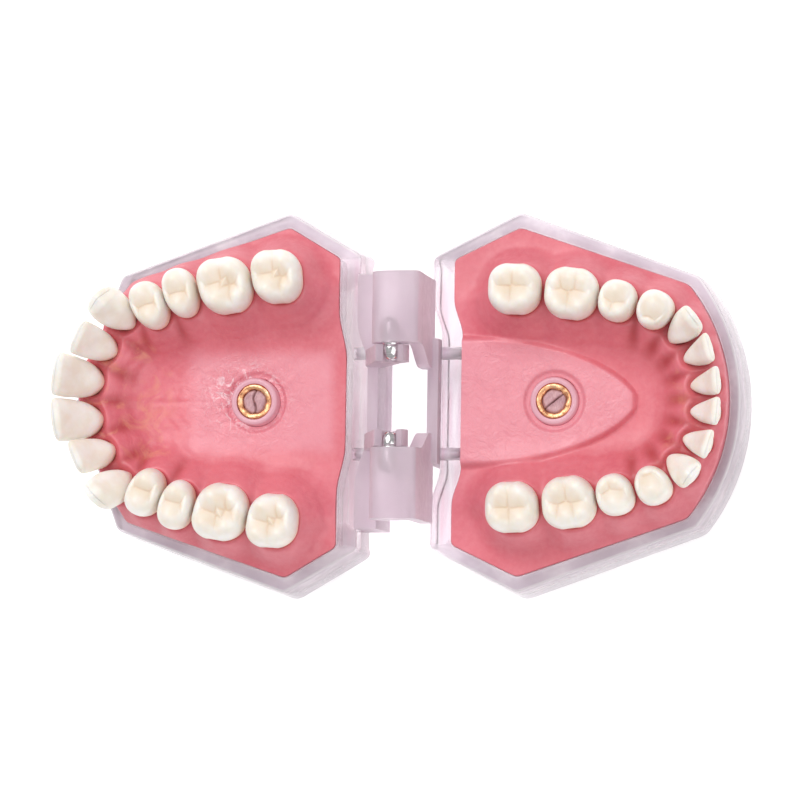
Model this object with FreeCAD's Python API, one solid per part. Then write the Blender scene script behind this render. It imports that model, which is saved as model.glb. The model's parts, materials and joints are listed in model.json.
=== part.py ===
import FreeCAD, Part
import os
from math import cos, hypot, pi, radians, sin

# Typodont: a pair of life-size dental jaw models on one hinge, opened flat.
# Millimetres, +Z up.  Both trays stand on Z = 0.  The upper jaw lies towards -X,
# the lower jaw towards +X, and the patient's left is +Y for both.  Each jaw is
# drawn in its own plan, where u runs from the hinge axis to the front teeth.

os.makedirs("parts", exist_ok=True)

# ---- heights ----
HINGE_Z = 25.0             # hinge axis, level with the chewing surfaces
RIM_Z = 12.0               # top of the clear trays
FLOOR = 3.0                # thickness of the trays' floors
SADDLE_Z = 12.3            # gum surface between the ridge and the rim
GUM_TOP = 17.0             # gum line round the teeth
NECK_Z = 15.5              # where a crown narrows to its root
BITE_GAP = 0.15            # each jaw's share of the gap between closed teeth

# ---- clear trays ----
DRAFT = 0.8                # how far the walls flare from the rim to the floor
SEAT_GAP = 0.1             # between a gum and the tray's wall
UPPER_RIM = dict(heel=(8.7, 27.2), apex=(22.2, 35.2), side=(54.2, 23.7), tip=62.7,
                 middle=6.6, flat=6.0, bend=15.0, rounded=False)
UPPER_WELL = dict(heel=(12.6, 26.7), apex=(22.1, 32.4), side=(52.1, 22.3), tip=60.5,
                  middle=11.1, flat=8.0, bend=17.0, rounded=False)
LOWER_RIM = dict(heel=(4.9, 26.8), apex=(21.2, 34.9), side=(54.0, 22.9), tip=61.8,
                 middle=6.6, flat=12.0, bend=19.0, rounded=True)
LOWER_WELL = dict(heel=(9.0, 26.2), apex=(21.2, 32.0), side=(52.3, 21.3), tip=59.9,
                  middle=10.7, flat=12.0, bend=19.0, rounded=True)
JAW_CENTRE_U = 32.0        # the walls flare away from this point

# ---- mounting insert in the middle of each tray ----
BOSS_U = 28.0
BOSS_R = 4.4
BOSS_TOP = 14.2
INSERT_R = 3.3
INSERT_BORE_R = 2.1        # core of an M5 thread
INSERT_DEPTH = 12.0        # depth of the threaded bore from the tray's underside
PLUG_R = 2.3               # the bore widens above the thread to seat the plug
PLUG_BOTTOM = 12.3
PLUG_TOP = 13.8
RECESS_R = 5.6             # dished gum round the boss
RECESS_DEPTH = 0.6

# ---- gum ridge ----
RIDGE_FOOT = (1.6, 3.0)    # ridge beyond the teeth at its foot, cheek and tongue side
RIDGE_CREST = (0.8, 1.2)   # the same at the gum line
RIDGE_END = 9.0            # how far the ridge runs on behind the second molar
TONGUE_TOP = 13.4          # raised floor of the lower jaw
TONGUE_HALF = 10.5
TONGUE_FRONT = 43.5

# ---- teeth ----
# name, kind, width, depth, neck (u, y), direction of the cheek side, top above the bite plane
UPPER_TEETH = [
    ("central_incisor", "upper_incisor", 8.2, 6.2, (57.3, 3.5), 8, 1.2),
    ("lateral_incisor", "upper_incisor", 6.65, 5.4, (54.7, 9.2), 24, 0.2),
    ("canine", "upper_canine", 7.4, 7.2, (51.9, 14.9), 44, 0.3),
    ("first_premolar", "premolar", 6.3, 9.2, (46.6, 17.2), 66, -BITE_GAP),
    ("second_premolar", "premolar", 6.0, 9.3, (40.7, 19.5), 74, -BITE_GAP),
    ("first_molar", "molar", 9.9, 10.8, (32.4, 20.8), 81, -BITE_GAP),
    ("second_molar", "molar", 9.2, 10.2, (22.7, 22.4), 87, -BITE_GAP),
]
LOWER_TEETH = [
    ("central_incisor", "lower_incisor", 5.1, 5.6, (56.0, 2.5), 5, -0.1),
    ("lateral_incisor", "lower_incisor", 5.4, 5.6, (54.6, 7.8), 17, -0.4),
    ("canine", "lower_canine", 6.0, 6.4, (51.9, 12.3), 38, -0.5),
    ("first_premolar", "premolar", 6.3, 7.2, (47.2, 15.8), 62, -BITE_GAP),
    ("second_premolar", "premolar", 6.7, 7.6, (40.4, 17.5), 75, -BITE_GAP),
    ("first_molar", "molar", 9.8, 9.7, (32.0, 18.9), 83, -BITE_GAP),
    ("second_molar", "molar", 9.7, 9.5, (21.6, 19.8), 88, -BITE_GAP),
]
# sections of root and crown: height, width, cheek side and tongue side, as shares of the crown
ROOT = [(-0.9, 0.36, 0.22, -0.22), (-0.4, 0.60, 0.38, -0.38)]
UPPER_FRONT_ROOT = [(-0.85, 0.36, -0.02, -0.34), (-0.4, 0.60, 0.20, -0.34)]
CROWNS = {
    "upper_incisor": [(0, 0.74, 0.50, -0.26), (0.3, 0.88, 0.66, -0.20), (0.65, 1.0, 0.86, 0.22),
                      (0.9, 1.0, 0.98, 0.60), (1, 0.92, 1.00, 0.76)],
    "lower_incisor": [(0, 0.72, 0.50, -0.50), (0.3, 0.84, 0.56, -0.44), (0.65, 0.95, 0.62, 0.02),
                      (0.9, 1.0, 0.67, 0.32), (1, 0.95, 0.69, 0.44)],
    "upper_canine": [(0, 0.76, 0.50, -0.30), (0.35, 0.94, 0.64, -0.26), (0.65, 1.0, 0.72, 0.0),
                     (0.88, 0.66, 0.74, 0.26), (1, 0.22, 0.68, 0.46)],
    "lower_canine": [(0, 0.76, 0.50, -0.50), (0.35, 0.92, 0.56, -0.46), (0.65, 1.0, 0.60, -0.10),
                     (0.88, 0.66, 0.62, 0.20), (1, 0.24, 0.56, 0.36)],
    "premolar": [(0, 0.78, 0.45, -0.45), (0.3, 0.96, 0.51, -0.49), (0.62, 1.0, 0.50, -0.50),
                 (0.87, 0.88, 0.42, -0.42), (1, 0.62, 0.30, -0.30)],
    "molar": [(0, 0.84, 0.45, -0.45), (0.28, 0.98, 0.51, -0.50), (0.62, 1.0, 0.50, -0.49),
              (0.87, 0.91, 0.43, -0.42), (1, 0.72, 0.33, -0.32)],
}
SQUARENESS = {"premolar": 2.2, "molar": 2.4}
FRONT_SQUARENESS = (2.2, 3.2)   # from the neck to the cutting edge
TAPER = 0.35               # a front crown narrows towards the tongue, most at its neck
SOCKET_GAP = 0.05
PIT_R = 2.6                # ball that hollows the chewing surface
PIT_DEPTH = 1.1
SECTION_POINTS = 16

# ---- hinge ----
PIN_R = 1.65
PIN_INNER_Y = 6.4          # domed end that the upper leaf's hook turns on
PIN_LENGTH = 8.0
RUNNING_GAP = 0.05
PLATE_FACE_U = 4.6         # outer face of both screwed plates
PLATE_BOTTOM = 1.5
PLATE_TOP = 14.5
LOWER_PLATE_HALF = 11.5
UPPER_PLATE_HALF = 23.4
ARM_INNER_Y = 9.5
ARM_OUTER_Y = 22.4
BARREL_R = 3.6
ARM_THICK = 3.0
SHOULDER = (3.1, 5.5)      # upright part of each arm, above the tray's rim
RIM_GAP = 0.3
HOOK_Y = (6.2, 9.2)
HOOK_R = 3.2
HOOK_MOUTH = 100           # opening of the snap hook, in degrees
SCREW_Y = 9.3
SCREW_Z = 7.5
SCREW_R = 1.15
SCREW_HEAD_R = 2.1
SCREW_HEAD = 1.3
SCREW_LENGTH = 5.6
SLOT_WIDTH = 0.5
SLOT_DEPTH = 0.6

UPPER_REACH = UPPER_TEETH[0][4][0] + UPPER_TEETH[0][3]
LOWER_REACH = LOWER_RIM["tip"] + DRAFT
HINGE_X = (UPPER_REACH - LOWER_REACH) / 2


def vec(u, y, z):
    return FreeCAD.Vector(u, y, z)


def smooth_step(t):
    t = min(max(t, 0.0), 1.0)
    return t * t * (3 - 2 * t)


def spline(points, closed=False):
    curve = Part.BSplineCurve()
    curve.interpolate(points, PeriodicFlag=closed)
    return curve.toShape()


def line(a, b):
    return Part.makeLine(a, b)


def cylinder(radius, start, direction, length):
    return Part.makeCylinder(radius, length, start, direction)


def box(u_range, y_range, z_range):
    size = [high - low for low, high in (u_range, y_range, z_range)]
    return Part.makeBox(size[0], size[1], size[2], vec(u_range[0], y_range[0], z_range[0]))


def save(name, solids, jaw):
    # the plan of either jaw becomes its place in the whole model
    shape = Part.makeCompound(solids) if len(solids) > 1 else solids[0]
    if jaw == "upper":
        shape = shape.mirror(vec(0, 0, 0), vec(1, 0, 0))
    shape.translate(vec(HINGE_X, 0, 0))
    shape.exportStep("parts/" + name + ".step")


# ---- trays and gums ----

def back_u(plan, y):
    # S-shaped back wall: a flat middle that steps across to the heels
    t = (abs(y) - plan["flat"]) / (plan["bend"] - plan["flat"])
    return plan["middle"] + (plan["heel"][0] - plan["middle"]) * smooth_step(t)


def pushed(point, grow):
    du = point[0] - JAW_CENTRE_U
    reach = hypot(du, point[1])
    return (point[0] + grow * du / reach, point[1] + grow * point[1] / reach)


def plan_wire(plan, grow, z):
    heel_y = pushed(plan["heel"], grow)[1]
    apex = pushed(plan["apex"], grow)
    side = pushed(plan["side"], grow)
    tip = plan["tip"] + grow
    stops = [plan["bend"], (plan["bend"] + plan["flat"]) / 2, plan["flat"]]
    ys = [heel_y] + stops + [0] + [-y for y in reversed(stops)] + [-heel_y]
    shift = -min(grow, 0)    # the back wall has no draft
    back = [vec(back_u(plan, y) + shift, y, z) for y in ys]
    left = [back[0], vec(apex[0], apex[1], z), vec(side[0], side[1], z)]
    right = [vec(side[0], -side[1], z), vec(apex[0], -apex[1], z), back[-1]]
    nose = vec(tip, 0, z)
    edges = [spline(list(reversed(back))), line(left[0], left[1]), line(left[1], left[2])]
    if plan["rounded"]:
        edges.append(Part.Arc(left[2], nose, right[0]).toShape())
    else:
        edges += [line(left[2], nose), line(nose, right[0])]
    edges += [line(right[0], right[1]), line(right[1], right[2])]
    return Part.Wire(edges)


def plan_block(plan, bottom_grow, bottom_z, top_grow, top_z):
    wires = [plan_wire(plan, bottom_grow, bottom_z), plan_wire(plan, top_grow, top_z)]
    return Part.makeLoft(wires, True, True)


def screw_places():
    return [-SCREW_Y, SCREW_Y]


def tray(rim, well):
    shape = plan_block(rim, DRAFT, 0, 0, RIM_Z)
    shape = shape.cut(plan_block(well, 0, FLOOR, 0, RIM_Z + 1))
    shape = shape.fuse(cylinder(BOSS_R, vec(BOSS_U, 0, FLOOR / 2), vec(0, 0, 1), BOSS_TOP - FLOOR / 2))
    shape = shape.cut(cylinder(INSERT_R, vec(BOSS_U, 0, -1), vec(0, 0, 1), BOSS_TOP + 2))
    for y in screw_places():
        shape = shape.cut(cylinder(SCREW_R, vec(0, y, SCREW_Z), vec(1, 0, 0), screw_tip_u()))
    return shape.removeSplitter()


def beside(tooth, margin, side):
    # a point in the gum beside a tooth: side is 1 at the cheek, -1 at the tongue
    depth, neck, facing = tooth[3], tooth[4], radians(tooth[5])
    distance = side * (depth / 2 + margin)
    return neck[0] + distance * cos(facing), neck[1] + distance * sin(facing)


def ridge_curve(teeth, margin, side, end_u, z):
    half = [beside(tooth, margin, side) for tooth in teeth]
    half.append((end_u, half[-1][1]))
    points = [vec(u, -y, z) for u, y in reversed(half)] + [vec(u, y, z) for u, y in half]
    return spline(points), points[0], points[-1]


def ridge_wire(teeth, widths, end_u, z):
    outer, outer_start, outer_end = ridge_curve(teeth, widths[0], 1, end_u, z)
    inner, inner_start, inner_end = ridge_curve(teeth, widths[1], -1, end_u, z)
    return Part.Wire([outer, line(outer_end, inner_end), inner, line(inner_start, outer_start)])


def ridge(teeth):
    end_u = teeth[-1][4][0] - RIDGE_END
    foot = ridge_wire(teeth, RIDGE_FOOT, end_u, SADDLE_Z - 0.2)
    crest = ridge_wire(teeth, RIDGE_CREST, end_u + 2, GUM_TOP)
    return Part.makeLoft([foot, crest], True, True)


def tongue_floor(well):
    # low raised floor with a half-round front, open to the back wall
    back = well["middle"] + 1
    straight = TONGUE_FRONT - TONGUE_HALF
    z = SADDLE_Z - 1
    a = vec(back, -TONGUE_HALF, z)
    b = vec(straight, -TONGUE_HALF, z)
    c = vec(straight, TONGUE_HALF, z)
    d = vec(back, TONGUE_HALF, z)
    front = Part.Arc(b, vec(TONGUE_FRONT, 0, z), c).toShape()
    face = Part.Face(Part.Wire([line(a, b), front, line(c, d), line(d, a)]))
    return face.extrude(vec(0, 0, TONGUE_TOP - z))


def gum(well, teeth, with_tongue):
    shape = plan_block(well, -SEAT_GAP, FLOOR, -SEAT_GAP, SADDLE_Z)
    shape = shape.fuse(ridge(teeth))
    if with_tongue:
        shape = shape.fuse(tongue_floor(well))
    top = TONGUE_TOP if with_tongue else SADDLE_Z
    hole = cylinder(BOSS_R + SEAT_GAP, vec(BOSS_U, 0, 0), vec(0, 0, 1), GUM_TOP)
    dish = cylinder(RECESS_R, vec(BOSS_U, 0, top - RECESS_DEPTH), vec(0, 0, 1), GUM_TOP)
    shape = shape.cut(hole.fuse(dish))
    for tooth in teeth:
        for side in (1, -1):
            shape = shape.cut(tooth_solid(tooth, side, SOCKET_GAP, False))
    return shape.removeSplitter()


def insert():
    length = BOSS_TOP - 0.1
    shape = cylinder(INSERT_R, vec(BOSS_U, 0, 0), vec(0, 0, 1), length)
    shape = shape.cut(cylinder(INSERT_BORE_R, vec(BOSS_U, 0, 0), vec(0, 0, 1), INSERT_DEPTH))
    return shape.cut(cylinder(PLUG_R, vec(BOSS_U, 0, INSERT_DEPTH), vec(0, 0, 1), length))


def insert_plug():
    return cylinder(PLUG_R, vec(BOSS_U, 0, PLUG_BOTTOM), vec(0, 0, 1), PLUG_TOP - PLUG_BOTTOM)


# ---- teeth ----

def signed_power(value, power):
    return abs(value) ** power * (1 if value >= 0 else -1)


def section_wire(tooth, side, row, grow):
    name, kind, width, depth, neck, facing, rise = tooth
    height, width_share, cheek, tongue = row
    top = HINGE_Z + rise
    z = NECK_Z + (top - NECK_Z) * height
    half_width = width * width_share / 2 + grow
    cheek = depth * cheek + grow
    tongue = depth * tongue - grow
    up = max(height, 0)
    low, high = FRONT_SQUARENESS
    power = 2.0 / SQUARENESS.get(kind, low + (high - low) * up)
    taper = 0.0 if kind in SQUARENESS else TAPER * (1 - up)
    angle = radians(facing)
    points = []
    for k in range(SECTION_POINTS):
        a = 2 * pi * k / SECTION_POINTS
        out = (cheek + tongue) / 2 + (cheek - tongue) / 2 * signed_power(sin(a), power)
        along = half_width * signed_power(cos(a), power) * (1 + taper * sin(a)) / (1 + taper * 0.3)
        u = neck[0] + out * cos(angle) + along * sin(angle)
        y = neck[1] + out * sin(angle) - along * cos(angle)
        points.append(vec(u, side * y, z))
    return Part.Wire([spline(points, True)])


def pits(tooth, side):
    # balls that hollow the fossae between the cusps
    kind, width, neck, facing = tooth[1], tooth[2], tooth[4], radians(tooth[5])
    z = HINGE_Z + tooth[6] + PIT_R - PIT_DEPTH
    steps = (-0.2, 0.2) if kind == "molar" else (0.0,)
    balls = []
    for step in steps:
        u = neck[0] + step * width * sin(facing)
        y = neck[1] - step * width * cos(facing)
        balls.append(Part.makeSphere(PIT_R, vec(u, side * y, z)))
    return balls


def tooth_solid(tooth, side, grow=0.0, finished=True):
    kind = tooth[1]
    root = UPPER_FRONT_ROOT if kind == "upper_incisor" else ROOT
    rows = root + CROWNS[kind]
    shape = Part.makeLoft([section_wire(tooth, side, row, grow) for row in rows], True, False)
    if finished and kind in SQUARENESS:
        for ball in pits(tooth, side):
            shape = shape.cut(ball)
    return shape


# ---- hinge ----

def screw_tip_u():
    return PLATE_FACE_U + SCREW_LENGTH


def plate(rim, half):
    # flat outside; the inside follows the tray's back wall
    deepest = max(rim["middle"], rim["heel"][0])
    shape = box((PLATE_FACE_U, deepest), (-half, half), (PLATE_BOTTOM, PLATE_TOP))
    return shape.cut(plan_block(rim, 0, -1, 0, PLATE_TOP + 1))


def drilled(shape):
    for y in screw_places():
        shape = shape.cut(cylinder(SCREW_R, vec(0, y, SCREW_Z), vec(1, 0, 0), screw_tip_u()))
    return shape


def lower_leaf():
    shape = plate(LOWER_RIM, LOWER_PLATE_HALF)
    top = HINGE_Z + BARREL_R
    for side in (1, -1):
        span = sorted((side * ARM_INNER_Y, side * ARM_OUTER_Y))
        shape = shape.fuse(box(SHOULDER, span, (RIM_Z + RIM_GAP, top)))
        shape = shape.fuse(box((0, SHOULDER[1]), span, (top - ARM_THICK, top)))
        barrel = cylinder(BARREL_R, vec(0, span[0], HINGE_Z), vec(0, 1, 0), span[1] - span[0])
        shape = shape.fuse(barrel)
        shape = shape.cut(pin(side))
    return drilled(shape).removeSplitter()


def hook(side):
    low, high = sorted((side * HOOK_Y[0], side * HOOK_Y[1]))
    width = high - low
    outline = [(PLATE_FACE_U, PLATE_TOP - 2), (UPPER_RIM["middle"], PLATE_TOP - 2),
               (UPPER_RIM["middle"], PLATE_TOP + 2), (HOOK_R, HINGE_Z), (-1.2, HINGE_Z - HOOK_R + 0.3)]
    points = [vec(u, low, z) for u, z in outline]
    web = Part.Face(Part.makePolygon(points + [points[0]])).extrude(vec(0, width, 0))
    shape = web.fuse(cylinder(HOOK_R, vec(0, low, HINGE_Z), vec(0, 1, 0), width))
    shape = shape.cut(cylinder(PIN_R + RUNNING_GAP, vec(0, low - 1, HINGE_Z), vec(0, 1, 0), width + 2))
    mouth = radians(HOOK_MOUTH / 2)
    reach = 2 * HOOK_R
    wedge = [vec(0, low - 1, HINGE_Z), vec(-reach * sin(mouth), low - 1, HINGE_Z + reach * cos(mouth)),
             vec(reach * sin(mouth), low - 1, HINGE_Z + reach * cos(mouth))]
    return shape.cut(Part.Face(Part.makePolygon(wedge + [wedge[0]])).extrude(vec(0, width + 2, 0)))


def upper_leaf():
    shape = plate(UPPER_RIM, UPPER_PLATE_HALF)
    for side in (1, -1):
        shape = shape.fuse(hook(side))
    return drilled(shape).removeSplitter()


def pin(side):
    # steel pin with two domed ends
    near = vec(0, side * (PIN_INNER_Y + PIN_R), HINGE_Z)
    far = vec(0, side * (PIN_INNER_Y + PIN_LENGTH - PIN_R), HINGE_Z)
    shape = cylinder(PIN_R, near, vec(0, side, 0), PIN_LENGTH - 2 * PIN_R)
    return shape.fuse(Part.makeSphere(PIN_R, near)).fuse(Part.makeSphere(PIN_R, far))


def screw(y):
    head = cylinder(SCREW_HEAD_R, vec(PLATE_FACE_U - SCREW_HEAD, y, SCREW_Z), vec(1, 0, 0), SCREW_HEAD)
    shank = cylinder(SCREW_R, vec(PLATE_FACE_U, y, SCREW_Z), vec(1, 0, 0), SCREW_LENGTH)
    slot_u = (PLATE_FACE_U - SCREW_HEAD - 1, PLATE_FACE_U - SCREW_HEAD + SLOT_DEPTH)
    slot = box(slot_u, (y - SLOT_WIDTH / 2, y + SLOT_WIDTH / 2),
               (SCREW_Z - SCREW_HEAD_R, SCREW_Z + SCREW_HEAD_R))
    return head.fuse(shank).cut(slot)


def build_jaw(jaw, rim, well, teeth, leaf):
    save(jaw + "_base", [tray(rim, well)], jaw)
    save(jaw + "_gum", [gum(well, teeth, jaw == "lower")], jaw)
    save(jaw + "_insert", [insert()], jaw)
    save(jaw + "_insert_plug", [insert_plug()], jaw)
    for tooth in teeth:
        save(jaw + "_left_" + tooth[0], [tooth_solid(tooth, 1)], jaw)
        save(jaw + "_right_" + tooth[0], [tooth_solid(tooth, -1)], jaw)
    save(jaw + "_hinge_leaf", [leaf], jaw)
    save(jaw + "_leaf_screws", [screw(y) for y in screw_places()], jaw)


build_jaw("upper", UPPER_RIM, UPPER_WELL, UPPER_TEETH, upper_leaf())
build_jaw("lower", LOWER_RIM, LOWER_WELL, LOWER_TEETH, lower_leaf())
save("hinge_pins", [pin(1), pin(-1)], "lower")
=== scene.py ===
import json
import math

import bmesh
import bpy
import numpy as np
from mathutils import Matrix, Vector


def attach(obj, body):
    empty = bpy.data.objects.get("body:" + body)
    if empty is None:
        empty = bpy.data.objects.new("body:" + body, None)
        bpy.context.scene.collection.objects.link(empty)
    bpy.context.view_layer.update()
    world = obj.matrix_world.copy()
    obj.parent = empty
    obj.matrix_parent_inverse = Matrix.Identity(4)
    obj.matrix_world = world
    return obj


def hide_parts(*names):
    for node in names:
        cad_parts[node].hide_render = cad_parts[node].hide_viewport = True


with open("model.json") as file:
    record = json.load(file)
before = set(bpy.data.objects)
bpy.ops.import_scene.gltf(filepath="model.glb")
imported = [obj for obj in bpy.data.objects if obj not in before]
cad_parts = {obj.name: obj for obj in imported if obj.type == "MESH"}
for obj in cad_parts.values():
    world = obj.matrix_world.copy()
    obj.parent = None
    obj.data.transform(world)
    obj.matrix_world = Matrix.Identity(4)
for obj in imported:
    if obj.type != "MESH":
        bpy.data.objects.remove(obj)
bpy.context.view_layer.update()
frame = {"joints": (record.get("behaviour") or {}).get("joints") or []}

# A pair of dental jaw models on one hinge, opened flat.  All sizes are millimetres in each
# jaw's own plan, where u runs from the hinge axis to the front teeth, y towards the
# patient's left and z up from the table.  place() turns them into metres in the frame.

MM = 0.001
HINGE_X, _, HINGE_Z = [c / MM for c in frame["joints"][0]["pos_m"]]
TOWARDS = {"upper": -1, "lower": 1}
BODY = {"upper": "upper_jaw", "lower": "lower_jaw"}
rng = np.random.default_rng(7)

# ---- heights ----
RIM_Z = 12.0
FLOOR_Z = 3.0
SADDLE_Z = 12.3
GUM_TOP = 17.0
NECK_Z = 15.5
BITE_GAP = 0.15

# ---- trays and gums ----
DRAFT = 0.8
SEAT_GAP = 0.1
RIM = {
    "upper": dict(heel=(8.7, 27.2), apex=(22.2, 35.2), side=(54.2, 23.7), tip=62.7,
                  middle=6.6, flat=6.0, bend=15.0, rounded=False),
    "lower": dict(heel=(4.9, 26.8), apex=(21.2, 34.9), side=(54.0, 22.9), tip=61.8,
                  middle=6.6, flat=12.0, bend=19.0, rounded=True),
}
WELL = {
    "upper": dict(heel=(12.6, 26.7), apex=(22.1, 32.4), side=(52.1, 22.3), tip=60.5,
                  middle=11.1, flat=8.0, bend=17.0, rounded=False),
    "lower": dict(heel=(9.0, 26.2), apex=(21.2, 32.0), side=(52.3, 21.3), tip=59.9,
                  middle=10.7, flat=12.0, bend=19.0, rounded=True),
}
BOSS_U = 28.0
BOSS_R = 4.4
BOSS_TOP = 14.2
INSERT_R = 3.3
BORE_R = 2.1
BORE_DEPTH = 12.0
PLUG_R = 2.3
PLUG_BOTTOM = 12.3
PLUG_TOP = 13.8
RECESS_R = 5.6
RECESS_DEPTH = 0.6
TONGUE_TOP = 13.4
TONGUE_HALF = 12.4
TONGUE_BACK = 10.0
TONGUE_FRONT = 43.5
RIDGE_SPREAD = (3.9, 2.5)      # how far the ridge falls away, tongue and cheek side
MARGIN_ROLL = 0.22             # rolled edge round a neck
MARGIN_GROOVE = 0.35           # groove inside that edge
PAPILLA = 0.75                 # peak between two necks
CONTOUR_STEP = 0.05            # faint terraces on the tongue side
SOCKET_DIP = 2.2               # under a crown
BETWEEN_GROOVE = 0.30          # radiating grooves behind the front teeth
FOLD = 0.045                   # folds of the palate
FOLD_PITCH = 2.7
INCISIVE_BUMP = 0.45
MIDLINE_GROOVE = 0.10
PALATE_SWELL = 0.02

# ---- teeth: name, kind, width, depth, neck (u, y), facing, top above the bite plane ----
TEETH = {
    "upper": [
        ("central_incisor", "upper_incisor", 8.2, 6.2, (57.3, 3.5), 8, 1.2),
        ("lateral_incisor", "upper_incisor", 6.65, 5.4, (54.7, 9.2), 24, 0.2),
        ("canine", "upper_canine", 7.4, 7.2, (51.9, 14.9), 44, 0.3),
        ("first_premolar", "upper_premolar", 6.3, 9.2, (46.6, 17.2), 66, -BITE_GAP),
        ("second_premolar", "upper_premolar", 6.0, 9.3, (40.7, 19.5), 74, -BITE_GAP),
        ("first_molar", "upper_molar", 9.9, 10.8, (32.4, 20.8), 81, -BITE_GAP),
        ("second_molar", "upper_molar", 9.2, 10.2, (22.7, 22.4), 87, -BITE_GAP),
    ],
    "lower": [
        ("central_incisor", "lower_incisor", 5.1, 5.6, (56.0, 2.5), 5, -0.1),
        ("lateral_incisor", "lower_incisor", 5.4, 5.6, (54.6, 7.8), 17, -0.4),
        ("canine", "lower_canine", 6.0, 6.4, (51.9, 12.3), 38, -0.5),
        ("first_premolar", "lower_premolar", 6.3, 7.2, (47.2, 15.8), 62, -BITE_GAP),
        ("second_premolar", "lower_premolar_2", 6.7, 7.6, (40.4, 17.5), 75, -BITE_GAP),
        ("first_molar", "lower_molar", 9.8, 9.7, (32.0, 18.9), 83, -BITE_GAP),
        ("second_molar", "lower_molar_2", 9.7, 9.5, (21.6, 19.8), 88, -BITE_GAP),
    ],
}
# sections of a front crown: height, width, cheek side and tongue side, as shares of the crown
FRONT_ROWS = {
    "upper_incisor": [(-0.3, 0.66, 0.36, -0.24), (0, 0.76, 0.50, -0.24), (0.3, 0.90, 0.66, -0.20),
                      (0.65, 1.0, 0.86, 0.25), (0.9, 1.0, 0.98, 0.62), (1, 0.97, 1.00, 0.76)],
    "lower_incisor": [(-0.3, 0.60, 0.42, -0.42), (0, 0.72, 0.50, -0.50), (0.3, 0.84, 0.56, -0.44),
                      (0.65, 0.95, 0.62, 0.02), (0.9, 1.0, 0.67, 0.32), (1, 0.98, 0.69, 0.44)],
    "upper_canine": [(-0.3, 0.66, 0.40, -0.28), (0, 0.78, 0.50, -0.28), (0.35, 0.94, 0.64, -0.26),
                     (0.65, 1.0, 0.74, 0.0), (0.88, 0.92, 0.80, 0.32), (1, 0.78, 0.80, 0.46)],
    "lower_canine": [(-0.3, 0.62, 0.40, -0.42), (0, 0.76, 0.50, -0.50), (0.35, 0.92, 0.56, -0.46),
                     (0.65, 1.0, 0.61, -0.10), (0.88, 0.92, 0.63, 0.20), (1, 0.80, 0.62, 0.34)],
}
# mesial and distal corner drop, and the power of its curve
CORNERS = {"upper_incisor": (0.7, 1.3, 4.0), "lower_incisor": (0.25, 0.45, 5.0),
           "upper_canine": (1.7, 2.2, 1.4), "lower_canine": (1.3, 1.8, 1.4)}
HOLLOW = {"upper_incisor": 0.10, "lower_incisor": 0.06, "upper_canine": 0.05, "lower_canine": 0.05}
# cusps of a back tooth: out and along as shares of the half sizes, and drop below the top
CUSPS = {
    "upper_molar": [(0.50, 0.46, 0.2), (0.50, -0.42, 0.3), (-0.48, 0.28, 0.0), (-0.46, -0.50, 0.8)],
    "lower_molar": [(0.50, 0.52, 0.3), (0.52, -0.05, 0.4), (0.34, -0.60, 0.7), (-0.48, 0.44, 0.0),
                    (-0.50, -0.38, 0.1)],
    "lower_molar_2": [(0.50, 0.44, 0.3), (0.50, -0.42, 0.4), (-0.48, 0.42, 0.0), (-0.48, -0.42, 0.2)],
    "upper_premolar": [(0.50, 0.0, 0.0), (-0.46, 0.10, 0.4)],
    "lower_premolar": [(0.30, 0.0, 0.0), (-0.60, 0.12, 1.2)],
    "lower_premolar_2": [(0.44, 0.0, 0.0), (-0.50, 0.36, 0.4), (-0.48, -0.40, 0.6)],
}
SQUARENESS = {"upper_molar": 2.35, "lower_molar": 2.35, "lower_molar_2": 2.4,
              "upper_premolar": 2.2, "lower_premolar": 2.2, "lower_premolar_2": 2.3}
TONGUE_TAPER = {"upper_molar": 0.07, "lower_molar": 0.05, "lower_molar_2": 0.04,
                "upper_premolar": 0.12, "lower_premolar": 0.14, "lower_premolar_2": 0.06}
FRONT_SQUARENESS = (2.2, 2.7)
FRONT_TAPER = 0.52
BODY_RINGS = 46            # rings of a front crown below its cutting edge
EDGE_START = 0.94          # share of the crown's height where that edge begins
LOBE_DEPTH = 0.05
CUSP_SLOPE = 0.60
CUSP_BLUNT = 0.7
CUSP_BLEND = 0.18
GROOVE_DEPTH = 0.14
RIDGE_DROP = 1.15          # marginal ridges below the crown's top

# ---- hinge ----
PIN_R = 1.65
PIN_INNER_Y = 6.4
PIN_LENGTH = 8.0
PIN_NOSE = 2.2             # length of each rounded end
PLATE_FACE_U = 4.6
PLATE_Z = (1.5, 14.5)
PLATE_HALF = {"upper": 23.4, "lower": 11.5}
ARM_Y = (9.5, 22.4)
BARREL_R = 3.6
ARM_THICK = 3.0
SHOULDER = (3.1, 5.5)
RIM_GAP = 0.3
HOOK_Y = (6.2, 9.2)
HOOK_R = 3.2
HOOK_BORE_R = 1.7
HOOK_MOUTH = 100
WINDOW_Y = 6.0
SCREW_Y = 9.3
SCREW_Z = 7.5
SCREW_R = 1.15
SCREW_HEAD_R = 2.1
SCREW_HEAD = 1.3
SCREW_LENGTH = 5.6
THREAD_PITCH = 0.8
SLOT_DEPTH = 0.6
SLOT_WIDTH = 0.5
WINDOW_LOW = 15.6          # where the window's curved corner ends

# ---- view ----
CAMERA_AIM = (-0.5, 0.4, 12.0)
CAMERA_TILT_X = 11.5       # degrees from straight down, towards the lower jaw
CAMERA_TILT_Y = -5.2       # and towards the patient's right
CAMERA_ROLL = 0.9
CAMERA_DISTANCE = 800.0
CAMERA_LENS = 196.0
WORLD_STRENGTH = 0.50
FLOOR_DROP = 0.3
FLOOR_HALF = 3000
# place, edge length and power of each area light
KEY_LIGHT = ((-350, 500, 900), 800, 7.2)
FILL_LIGHT = ((600, -300, 800), 900, 3.4)


# ---- mesh helpers ----

def smooth_step(t):
    t = np.clip(t, 0.0, 1.0)
    return t * t * (3 - 2 * t)


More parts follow.
